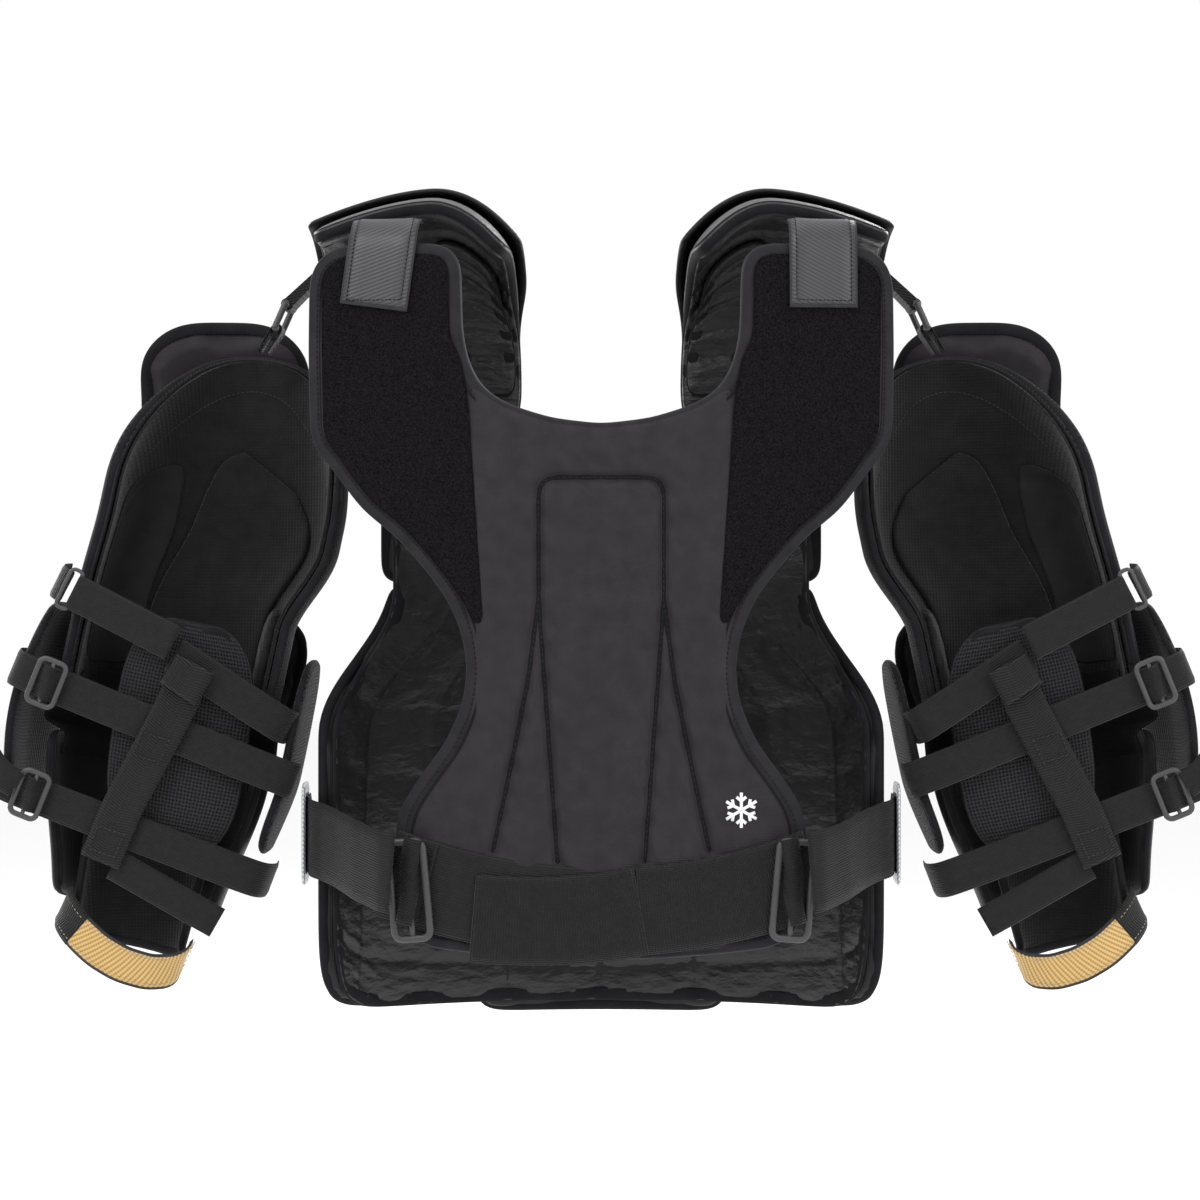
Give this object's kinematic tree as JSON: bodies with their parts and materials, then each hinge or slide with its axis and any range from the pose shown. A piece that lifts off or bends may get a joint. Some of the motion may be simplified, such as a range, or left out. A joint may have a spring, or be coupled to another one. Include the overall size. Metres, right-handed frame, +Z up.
{
  "type": "ice hockey goaltender chest and arm protector",
  "caption": "Padded upper-body protector with a front chest and belly panel, a strapped back panel, and jointed arm pads that lift, swing and bend at the elbow.",
  "frame": {"origin": "midway between the wearer's shoulders, at the height where the two yokes rest on them", "axes": "+X to the wearer's right, +Y to the wearer's front, +Z up"},
  "size_m": [1.0816, 0.278, 0.7354],
  "materials": {
    "lining_satin": "quilted satin nylon lining",
    "nylon": "woven nylon over foam",
    "back_nylon": "fine woven nylon, slight sheen",
    "foam": "closed-cell foam",
    "plate": "thin polyethylene sheet",
    "vinyl": "coated synthetic leather",
    "binding": "folded binding tape with lock stitching",
    "loop": "loop pile",
    "elastic": "ribbed woven elastic",
    "webbing": "woven nylon webbing",
    "glide": "moulded acetal, fine satin texture",
    "tab_grey": "grey embossed synthetic leather, stitched edge",
    "tab_silver": "silver synthetic leather edge round a dark centre",
    "gold": "gold embossed synthetic leather, pale stitching",
    "brushed": "brushed stretch lining",
    "mesh": "three-dimensional spacer mesh",
    "moulded": "moulded polyethylene cup"
  },
  "bodies": {
    "torso": {"chest_lining": "lining_satin", "chest_pad": "nylon", "belly_pad": "nylon", "belly_wings": "nylon", "yoke_left": "lining_satin", "yoke_right": "lining_satin", "yoke_cover_left": "vinyl", "yoke_cover_right": "vinyl", "torso_plates": "plate", "hanger_loops": "webbing"},
    "back_panel": {"back_cover": "back_nylon", "back_core": "foam", "spine_plate": "plate", "back_binding": "binding", "loop_patches": "loop", "waist_strap": "elastic", "side_straps": "elastic"},
    "waist_flap": {"waist_flap": "elastic"},
    "waist_triglide_left": {"waist_triglide_left": "glide"},
    "side_tab_left": {"side_tab_left": "tab_silver"},
    "shoulder_tab_left": {"shoulder_tab_left": "tab_grey"},
    "arm_hanger_left": {"arm_ring_left": "glide"},
    "upper_arm_left": {"arm_loop_left": "webbing", "upper_arm_pad_left": "nylon", "upper_arm_lining_left": "brushed", "bicep_pad_left": "brushed", "shoulder_cup_left": "moulded"},
    "floater_left": {"shoulder_floater_left": "nylon"},
    "forearm_left": {"elbow_cup_left": "nylon", "elbow_wings_left": "nylon", "forearm_pad_left": "nylon", "forearm_mesh_pad_left": "mesh", "ladder_strap_left": "webbing", "top_strap_left": "elastic", "forearm_straps_left": "elastic", "wrist_cuff_left": "brushed"},
    "triglide_upper_left": {"triglide_upper_left": "glide"},
    "triglide_lower_left": {"triglide_lower_left": "glide"},
    "wrist_strap_left": {"wrist_strap_left": "gold"},
    "waist_triglide_right": {"waist_triglide_right": "glide"},
    "side_tab_right": {"side_tab_right": "tab_silver"},
    "shoulder_tab_right": {"shoulder_tab_right": "tab_grey"},
    "arm_hanger_right": {"arm_ring_right": "glide"},
    "upper_arm_right": {"arm_loop_right": "webbing", "upper_arm_pad_right": "nylon", "upper_arm_lining_right": "brushed", "bicep_pad_right": "brushed", "shoulder_cup_right": "moulded"},
    "floater_right": {"shoulder_floater_right": "nylon"},
    "forearm_right": {"elbow_cup_right": "nylon", "elbow_wings_right": "nylon", "forearm_pad_right": "nylon", "forearm_mesh_pad_right": "mesh", "ladder_strap_right": "webbing", "top_strap_right": "elastic", "forearm_straps_right": "elastic", "wrist_cuff_right": "brushed"},
    "triglide_upper_right": {"triglide_upper_right": "glide"},
    "triglide_lower_right": {"triglide_lower_right": "glide"},
    "wrist_strap_right": {"wrist_strap_right": "gold"}
  },
  "joints": [
    {"name": "back_swing", "type": "hinge", "parent": "torso", "child": "back_panel", "pos_m": [0, -0.08, 0.012], "axis": [-1, 0, 0], "range_deg": [0, 12], "deforming": ["side_straps"]},
    {"name": "waist_flap_peel", "type": "hinge", "parent": "back_panel", "child": "waist_flap", "pos_m": [0.033, -0.1096, -0.578], "axis": [0, 0, 1], "range_deg": [0, 112]},
    {"name": "waist_triglide_left_slide", "type": "slide", "parent": "back_panel", "child": "waist_triglide_left", "axis": [0.9424, -0.1475, -0.3004], "range_m": [0, 0.03]},
    {"name": "side_tab_left_peel", "type": "hinge", "parent": "torso", "child": "side_tab_left", "pos_m": [-0.2655, -0.006, -0.52], "axis": [0, 0, 1], "range_deg": [0, 15]},
    {"name": "shoulder_tab_left_peel", "type": "hinge", "parent": "back_panel", "child": "shoulder_tab_left", "pos_m": [-0.188, -0.08, 0.012], "axis": [-1, 0, 0], "range_deg": [0, 80]},
    {"name": "arm_raise_left", "type": "hinge", "parent": "torso", "child": "arm_hanger_left", "pos_m": [-0.284, 0.05, -0.044], "axis": [0, 1, 0], "range_deg": [0, 80]},
    {"name": "arm_swing_left", "type": "hinge", "parent": "arm_hanger_left", "child": "upper_arm_left", "pos_m": [-0.294, 0.05, -0.066], "axis": [1, 0, 0], "range_deg": [0, 40], "deforming": ["arm_loop_left"]},
    {"name": "floater_left_lift", "type": "hinge", "parent": "upper_arm_left", "child": "floater_left", "pos_m": [-0.354, 0.117, -0.056], "axis": [1, 0, 0], "range_deg": [0, 30]},
    {"name": "elbow_left", "type": "hinge", "parent": "upper_arm_left", "child": "forearm_left", "pos_m": [-0.38037, 0.05, -0.35044], "axis": [-0.9781, 0, 0.2079], "range_deg": [0, 70], "deforming": ["top_strap_left", "ladder_strap_left", "forearm_mesh_pad_left"]},
    {"name": "triglide_upper_left_slide", "type": "slide", "parent": "forearm_left", "child": "triglide_upper_left", "axis": [0.9257, 0, -0.3783], "range_m": [0, 0.05]},
    {"name": "triglide_lower_left_slide", "type": "slide", "parent": "forearm_left", "child": "triglide_lower_left", "axis": [0.9335, 0, -0.3585], "range_m": [0, 0.04]},
    {"name": "wrist_strap_left_peel", "type": "hinge", "parent": "forearm_left", "child": "wrist_strap_left", "pos_m": [-0.3831, 0.002, -0.64225], "axis": [0.2079, 0, 0.9781], "range_deg": [0, 70]},
    {"name": "waist_triglide_right_slide", "type": "slide", "parent": "back_panel", "child": "waist_triglide_right", "axis": [-0.9424, -0.1475, -0.3004], "range_m": [0, 0.03]},
    {"name": "side_tab_right_peel", "type": "hinge", "parent": "torso", "child": "side_tab_right", "pos_m": [0.2655, -0.006, -0.52], "axis": [0, 0, -1], "range_deg": [0, 15]},
    {"name": "shoulder_tab_right_peel", "type": "hinge", "parent": "back_panel", "child": "shoulder_tab_right", "pos_m": [0.188, -0.08, 0.012], "axis": [-1, 0, 0], "range_deg": [0, 80]},
    {"name": "arm_raise_right", "type": "hinge", "parent": "torso", "child": "arm_hanger_right", "pos_m": [0.284, 0.05, -0.044], "axis": [0, -1, 0], "range_deg": [0, 80]},
    {"name": "arm_swing_right", "type": "hinge", "parent": "arm_hanger_right", "child": "upper_arm_right", "pos_m": [0.294, 0.05, -0.066], "axis": [1, 0, 0], "range_deg": [0, 40], "deforming": ["arm_loop_right"]},
    {"name": "floater_right_lift", "type": "hinge", "parent": "upper_arm_right", "child": "floater_right", "pos_m": [0.354, 0.117, -0.056], "axis": [1, 0, 0], "range_deg": [0, 30]},
    {"name": "elbow_right", "type": "hinge", "parent": "upper_arm_right", "child": "forearm_right", "pos_m": [0.38037, 0.05, -0.35044], "axis": [-0.9781, 0, -0.2079], "range_deg": [0, 70], "deforming": ["top_strap_right", "ladder_strap_right", "forearm_mesh_pad_right"]},
    {"name": "triglide_upper_right_slide", "type": "slide", "parent": "forearm_right", "child": "triglide_upper_right", "axis": [-0.9257, 0, -0.3783], "range_m": [0, 0.05]},
    {"name": "triglide_lower_right_slide", "type": "slide", "parent": "forearm_right", "child": "triglide_lower_right", "axis": [-0.9335, 0, -0.3585], "range_m": [0, 0.04]},
    {"name": "wrist_strap_right_peel", "type": "hinge", "parent": "forearm_right", "child": "wrist_strap_right", "pos_m": [0.3831, 0.002, -0.64225], "axis": [0.2079, 0, -0.9781], "range_deg": [0, 70]}
  ]
}
